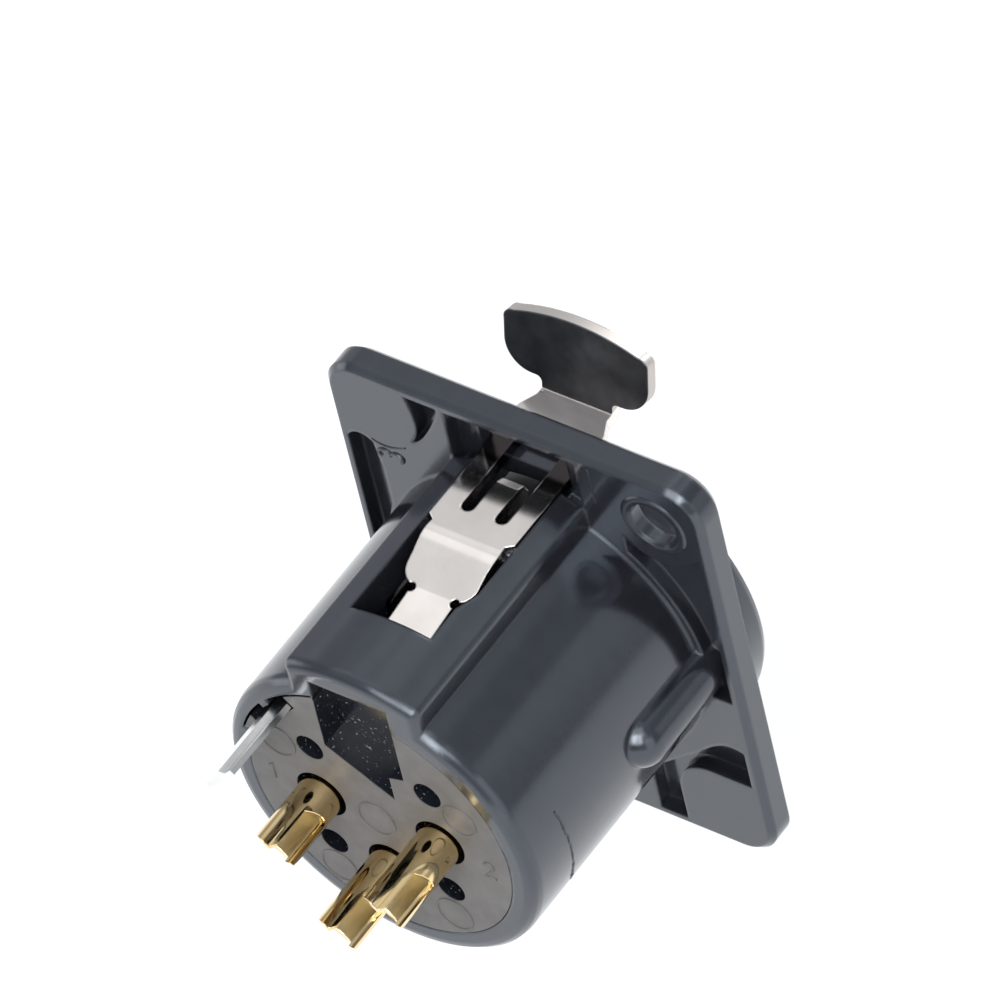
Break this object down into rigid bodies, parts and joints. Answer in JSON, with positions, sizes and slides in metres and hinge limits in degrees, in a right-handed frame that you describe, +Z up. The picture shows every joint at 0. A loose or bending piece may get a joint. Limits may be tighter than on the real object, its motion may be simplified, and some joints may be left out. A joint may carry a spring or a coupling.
{
  "type": "panel audio socket",
  "caption": "Rectangular flanged panel socket for a round locking audio plug, with a barrel, a sprung latch lever, solder cups and a ground strip.",
  "frame": {"origin": "middle of the back face of the flange, which lies on the panel, on the axis of the barrel", "axes": "-Y is the side that the plug enters, +Y is the solder side, +Z is up with the latch on top, +X is on the right as seen from the plug side"},
  "size_m": [0.026, 0.0314, 0.0323],
  "materials": {
    "black_metal": "satin black coating",
    "black_plastic": "matte moulded",
    "gold": "gold plated",
    "tin": "bright tin plated strip",
    "nickel": "nickel plated sheet",
    "spring_steel": "drawn wire"
  },
  "bodies": {
    "socket": {"shell": "black_metal", "insulator": "black_plastic", "contact_1": "gold", "contact_2": "gold", "contact_3": "gold", "ground_strip": "tin", "latch_spring": "spring_steel"},
    "lever": {"latch_lever": "nickel"}
  },
  "joints": [
    {"name": "latch_pivot", "type": "hinge", "parent": "socket", "child": "lever", "pos_m": [0, 0.01295, 0.01012], "axis": [-1, 0, 0], "range_deg": [0, 6.5], "stiffness_Nm_per_rad": 0.05, "springref_deg": -28.65, "deforming": ["latch_spring"]}
  ]
}
